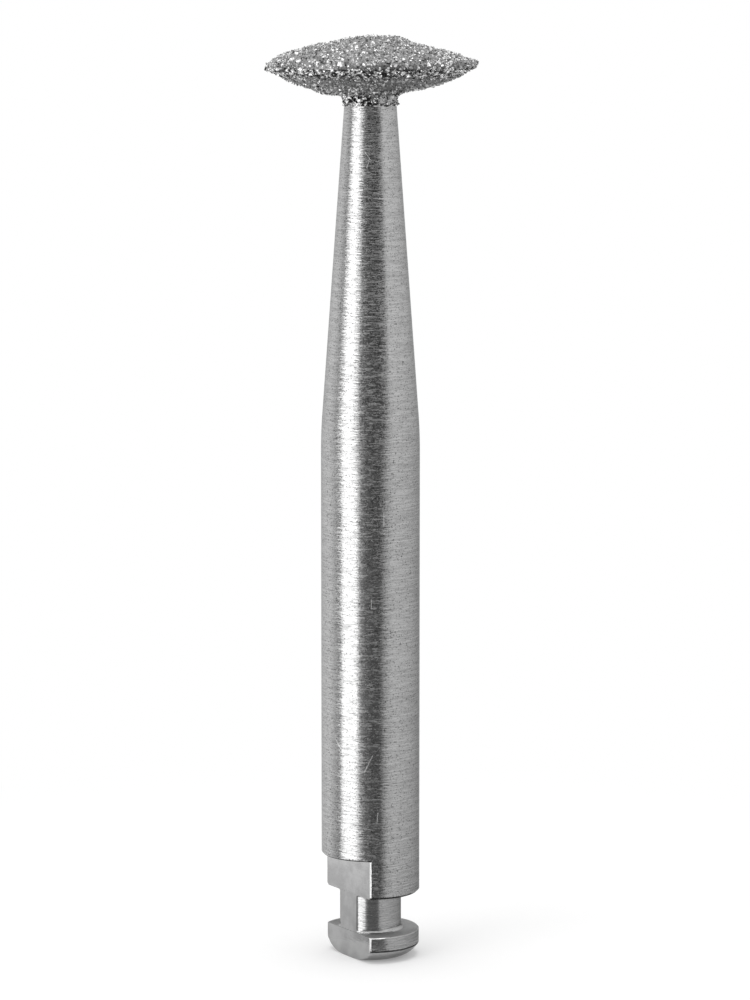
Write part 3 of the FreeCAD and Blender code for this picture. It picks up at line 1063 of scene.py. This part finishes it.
def floor_finish():
    """Pale floor that keeps the shadow near the object and fades to white further out."""
    material, tree, out = new_material("floor")
    distance = vector_node(tree, "LENGTH", object_place(tree)[0])["Value"]
    look = seen(tree)
    far = math_node(tree, "MULTIPLY", remap(tree, distance, *FADE), look)
    paint = add(tree, "ShaderNodeBsdfDiffuse", {"Color": (FLOOR_COLOUR,) * 3 + (1,)})
    lift = math_node(tree, "MULTIPLY", look, 1 - FLOOR_COLOUR)
    glow = add(tree, "ShaderNodeEmission", {"Color": WHITE, "Strength": lift})
    near = add(tree, "ShaderNodeAddShader", {0: paint.outputs[0], 1: glow.outputs[0]})
    white = add(tree, "ShaderNodeEmission", {"Color": WHITE, "Strength": 1.0})
    mixed = add(tree, "ShaderNodeMixShader", {0: far, 1: near.outputs[0], 2: white.outputs[0]})
    tree.links.new(mixed.outputs[0], out.inputs[0])
    return material


def add_floor():
    """The floor that the bur stands on."""
    half = FLOOR_SIZE / 2
    corners = [(-half, -half, 0), (half, -half, 0), (half, half, 0), (-half, half, 0)]
    floor = make_object("floor", corners, [(0, 1, 2, 3)])
    floor.data.materials.append(floor_finish())


# What the steel mirrors, by heading from the camera's own, left negative: radiance of the cards
SURROUND = [
    (-180, 0.60), (-165, 0.76), (-150, 1.26), (-112, 1.32), (-100, 1.15), (-92, 0.86),
    (-80, 0.60), (-72, 0.60), (-67.5, 3.1), (-32, 3.1), (-28, 0.90), (-22, 0.52),
    (-17, 0.36), (-10, 0.24), (-3, 0.20), (4, 0.17), (24, 0.16), (31, 0.24),
    (36, 0.62), (41, 0.98), (56, 1.03), (90, 0.93), (120, 0.82), (150, 0.72),
    (165, 0.65), (180, 0.60),
]
LEFT_END = SURROUND[0][0]
RIGHT_END = SURROUND[-1][0]
BRIGHTEST = max(level for _, level in SURROUND)
SURROUND_NEAR = 1.9 * MM
SURROUND_FAR = 100 * MM
SURROUND_TOP = 150 * MM
SURROUND_LOW = 0.03 * MM
SURROUND_BEND = 3 * MM
SURROUND_STEPS = 180

# The mirrored bands aren't upright. On the right and on the left of the camera, the heading's
# scale changes between two heights, by an amount that depends on the heading, and on the right
# it changes with the reach from the axis too
RIGHT_HEIGHTS = (1 * MM, 13 * MM)
RIGHT_SCALES = (42 * DEG, 72 * DEG, -0.24, -0.15)
RIGHT_REACH = (25 * MM, 85 * MM, 0.24, 0.03)
LEFT_HEIGHTS = (11 * MM, 26 * MM)
LEFT_SCALES = (-72 * DEG, -42 * DEG, -0.17, -0.34)

# The white band's shift beside the object's foot, by reach, and the band's headings
FOOT_SHIFT = (6 * MM, 9 * MM, 12 * DEG, 0.0)
WHITE_BAND = (-66 * DEG, -14 * DEG)

# The right-hand cards' gain high up, the low sweep's shade by reach, the dark card's headings
# and its dimming by height, and how soft the borders of white band and dark card are
RIGHT_CARDS = (30 * DEG, 45 * DEG)
RIGHT_GAIN = 0.16
SWEEP_SHADE = (3 * MM, 14 * MM, 0.72, 1.0)
DARK_CARD = (-14 * DEG, 30 * DEG)
DARK_HEIGHTS = (23 * MM, 30 * MM, 0.0, -0.9)
BAND_SOFT = 8 * DEG

# The least glow: white overhead, by height, and faint beside the foot, by reach
OVERHEAD_GLOW = (39 * MM, 52 * MM)
FOOT_GLOW = (5 * MM, 9 * MM, 0.24, 0.0)


def card_heading(tree, parts, reach, high_up):
    """The heading whose radiance in SURROUND a place on the cards has."""
    heading = math_node(tree, "ARCTAN2", parts["Y"], parts["X"])
    on_right = remap(tree, heading, *RIGHT_SCALES)
    on_right = math_node(tree, "MULTIPLY_ADD", high_up, on_right, 1.0)
    on_right = math_node(tree, "ADD", on_right, remap(tree, reach, *RIGHT_REACH))
    on_left = remap(tree, heading, *LEFT_SCALES)
    higher = remap(tree, parts["Z"], *LEFT_HEIGHTS)
    on_left = math_node(tree, "MULTIPLY_ADD", higher, on_left, 1.0)
    right = math_node(tree, "GREATER_THAN", heading, 0.0)
    scale = add(tree, "ShaderNodeMix", {"Factor": right, "A": on_left, "B": on_right})
    heading = math_node(tree, "MULTIPLY", heading, scale.outputs["Result"])
    shift = remap(tree, reach, *FOOT_SHIFT)
    on_band = between(tree, heading, *WHITE_BAND, BAND_SOFT)
    return math_node(tree, "SUBTRACT", heading, math_node(tree, "MULTIPLY", shift, on_band))


def card_radiance(tree, heading):
    """The radiance in SURROUND at a heading, as a share of the brightest."""
    share = remap(tree, heading, LEFT_END * DEG, RIGHT_END * DEG)
    share.node.interpolation_type = "LINEAR"
    ramp = add(tree, "ShaderNodeValToRGB", {"Fac": share})
    elements = ramp.color_ramp.elements
    while len(elements) < len(SURROUND):
        elements.new(0.5)
    for element, (angle, level) in zip(elements, SURROUND):
        element.position = (angle - LEFT_END) / (RIGHT_END - LEFT_END)
        element.color = (level / BRIGHTEST,) * 3 + (1,)
    return ramp.outputs["Color"]


def card_gain(tree, parts, reach, high_up, heading):
    """What the cards' radiance is multiplied by."""
    to_right = math_node(tree, "MULTIPLY", remap(tree, heading, *RIGHT_CARDS), high_up)
    gain = math_node(tree, "MULTIPLY_ADD", to_right, RIGHT_GAIN * BRIGHTEST, BRIGHTEST)
    gain = math_node(tree, "MULTIPLY", gain, remap(tree, reach, *SWEEP_SHADE))
    on_dark = between(tree, heading, *DARK_CARD, BAND_SOFT)
    dim = math_node(tree, "MULTIPLY", on_dark, remap(tree, parts["Z"], *DARK_HEIGHTS))
    return math_node(tree, "MULTIPLY_ADD", gain, dim, gain)


def surround_finish():
    """Cards whose brightness changes smoothly with the heading."""
    material, tree, out = new_material("studio_cards")
    place, parts = object_place(tree)
    reach = from_axis(tree, place)
    high_up = remap(tree, parts["Z"], *RIGHT_HEIGHTS)
    heading = card_heading(tree, parts, reach, high_up)
    gain = card_gain(tree, parts, reach, high_up, heading)
    level = math_node(tree, "MULTIPLY", card_radiance(tree, heading), gain)
    level = math_node(tree, "MAXIMUM", level, remap(tree, parts["Z"], *OVERHEAD_GLOW))
    level = math_node(tree, "MAXIMUM", level, remap(tree, reach, *FOOT_GLOW))
    card = add(tree, "ShaderNodeEmission", {"Color": WHITE, "Strength": level})
    tree.links.new(card.outputs[0], out.inputs[0])
    return material


def add_surround():
    """The studio's cards, which only reflections see: a low sweep and a wall all round."""
    section = [(SURROUND_NEAR, SURROUND_LOW), (SURROUND_FAR - SURROUND_BEND, SURROUND_LOW),
               (SURROUND_FAR, SURROUND_BEND), (SURROUND_FAR, SURROUND_TOP)]
    vertices = []
    for r, z in section:
        for angle in spread(LEFT_END * DEG, RIGHT_END * DEG, SURROUND_STEPS):
            vertices.append((r * math.cos(angle), r * math.sin(angle), z))
    faces = []
    for row in range(len(section) - 1):
        for i in range(SURROUND_STEPS - 1):
            a = row * SURROUND_STEPS + i
            faces.append((a, a + 1, a + 1 + SURROUND_STEPS, a + SURROUND_STEPS))
    cards = make_object("studio_cards", vertices, faces)
    cards.rotation_euler = (0, 0, CAMERA_HEADING - math.pi / 2)
    cards.data.materials.append(surround_finish())
    cards.visible_camera = False
    cards.visible_diffuse = False
    cards.visible_shadow = False
    cards.visible_transmission = False


SOFTBOX_HEADING = CAMERA_HEADING - 48 * DEG
SOFTBOX_DISTANCE = 60 * MM
SOFTBOX_HEIGHT = 34 * MM
SOFTBOX_AIM = 11 * MM
SOFTBOX_SIZE = (42 * MM, 60 * MM)
SOFTBOX_POWER = 0.011
OVERHEAD_HEIGHT = 400 * MM
OVERHEAD_SIZE = 300 * MM
OVERHEAD_POWER = 0.66


def area_lamp(name, shape, power, location):
    """A soft lamp of a shape and power at a place."""
    data = bpy.data.lights.new(name, "AREA")
    data.shape = shape
    data.energy = power
    lamp = bpy.data.objects.new(name, data)
    lamp.location = location
    bpy.context.scene.collection.objects.link(lamp)
    return lamp


def add_softbox():
    """The key light, to the left of the camera."""
    place = heading_point(SOFTBOX_DISTANCE, SOFTBOX_HEADING, SOFTBOX_HEIGHT)
    lamp = area_lamp("softbox", "RECTANGLE", SOFTBOX_POWER, place)
    lamp.data.size, lamp.data.size_y = SOFTBOX_SIZE
    aim = Vector((0, 0, SOFTBOX_AIM)) - lamp.location
    lamp.rotation_euler = aim.to_track_quat("-Z", "Y").to_euler()
    lamp.visible_glossy = False


def add_overhead():
    """A wide soft lamp above, which lights the crown and the floor."""
    lamp = area_lamp("overhead", "DISK", OVERHEAD_POWER, (0, 0, OVERHEAD_HEIGHT))
    lamp.data.size = OVERHEAD_SIZE


add_camera()
add_world()
add_floor()
add_surround()
add_softbox()
add_overhead()

bpy.context.scene.view_settings.view_transform = "Standard"
